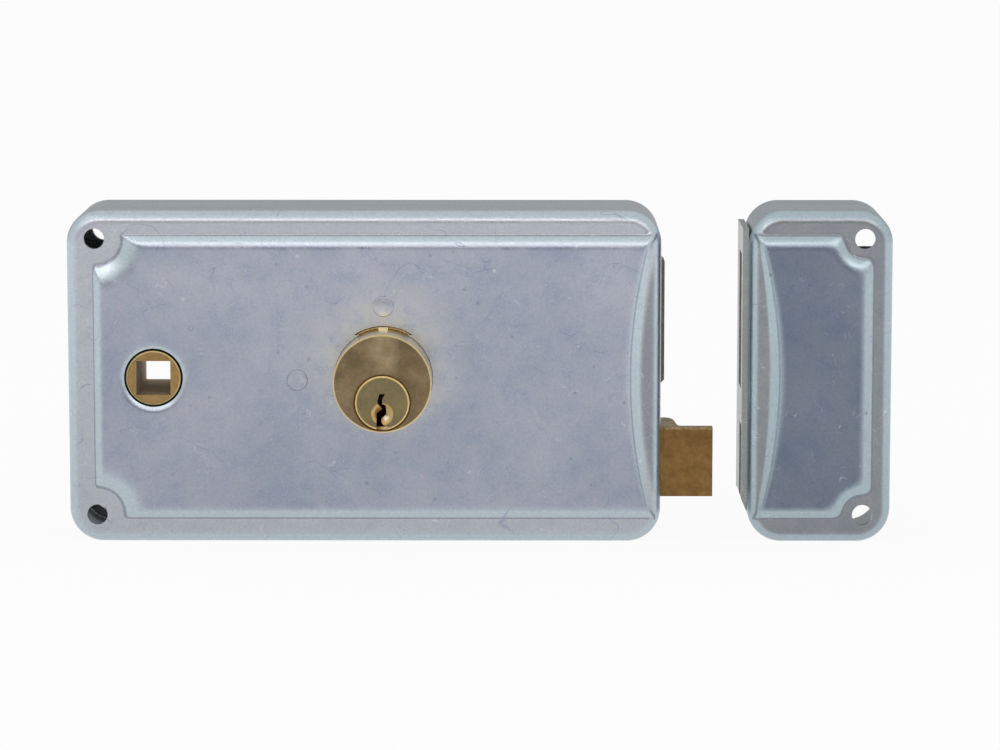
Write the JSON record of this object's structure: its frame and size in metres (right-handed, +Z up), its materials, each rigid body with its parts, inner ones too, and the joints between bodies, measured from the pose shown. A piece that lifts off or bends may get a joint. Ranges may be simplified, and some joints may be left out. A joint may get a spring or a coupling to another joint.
{
  "type": "rim box lock",
  "caption": "Surface-mounted box lock with raised steel cover, off-centre pin cylinder, square spindle follower, deadbolt, spring latch and a separate keeper box.",
  "frame": {"origin": "middle of the case's flat mounting face, on the door", "axes": "+X along the lock towards the keeper, +Z up, +Y into the door, so the cover faces -Y"},
  "size_m": [0.1944, 0.0373, 0.079],
  "materials": {
    "zinc_steel": "blue-passivated zinc plate, satin, mottled",
    "keeper_steel": "blue-passivated zinc plate, satin, darker",
    "plain_steel": "zinc-plated steel, satin",
    "spring_steel": "bright spring wire",
    "cylinder_brass": "turned, satin",
    "hub_brass": "turned, tarnished gold",
    "latch_brass": "extruded, dull brown",
    "deadbolt_brass": "dull dark olive"
  },
  "bodies": {
    "case": {"front_case": "zinc_steel", "back_plate": "plain_steel", "back_plate_screws": "plain_steel", "bolt_guide_post": "plain_steel", "lever_pivot_post": "plain_steel", "cylinder_bracket": "plain_steel", "cylinder_screws": "plain_steel", "cylinder_body": "cylinder_brass", "driver_pins": "cylinder_brass", "pin_springs": "spring_steel", "bolt_guide": "plain_steel", "latch_guide": "plain_steel", "guide_rivets": "plain_steel", "latch_spring": "spring_steel", "spring_stud": "plain_steel", "detent_spring": "spring_steel", "keeper_shell": "keeper_steel", "keeper_plate": "keeper_steel"},
    "key_plug": {"plug": "cylinder_brass", "key_pins": "cylinder_brass", "cam": "plain_steel", "cam_clip": "plain_steel"},
    "deadbolt": {"deadbolt_head": "deadbolt_brass", "deadbolt_tail": "plain_steel", "deadbolt_rivets": "plain_steel"},
    "follower": {"hub": "hub_brass"},
    "latch": {"latch_head": "latch_brass", "latch_tail": "plain_steel", "latch_rivets": "plain_steel", "latch_peg": "plain_steel"},
    "key_lever": {"latch_lever": "plain_steel"}
  },
  "joints": [
    {"name": "key_turn", "type": "hinge", "parent": "case", "child": "key_plug", "pos_m": [0.0046, -0.02, -0.0045], "axis": [0, 1, 0], "range_deg": [0, 90]},
    {"name": "deadbolt_throw", "type": "slide", "parent": "case", "child": "deadbolt", "axis": [1, 0, 0], "range_m": [0, 0.014], "deforming": ["detent_spring"]},
    {"name": "handle_turn", "type": "hinge", "parent": "case", "child": "follower", "pos_m": [-0.0496, -0.014, 0], "axis": [0, 1, 0], "range_deg": [0, 35]},
    {"name": "latch_draw", "type": "slide", "parent": "case", "child": "latch", "axis": [-1, 0, 0], "range_m": [0, 0.012], "stiffness_N_per_m": 300, "springref_m": -0.004, "deforming": ["latch_spring"]},
    {"name": "lever_swing", "type": "hinge", "parent": "case", "child": "key_lever", "pos_m": [-0.0157, -0.0075, -0.0005], "axis": [0, 1, 0], "range_deg": [0, 36]}
  ],
  "couplings": [
    {"joint": "key_turn", "follows": "deadbolt_throw", "rad_per_m": 112.19},
    {"joint": "handle_turn", "follows": "latch_draw", "rad_per_m": 50.687},
    {"joint": "lever_swing", "follows": "latch_draw", "rad_per_m": 52.111}
  ]
}
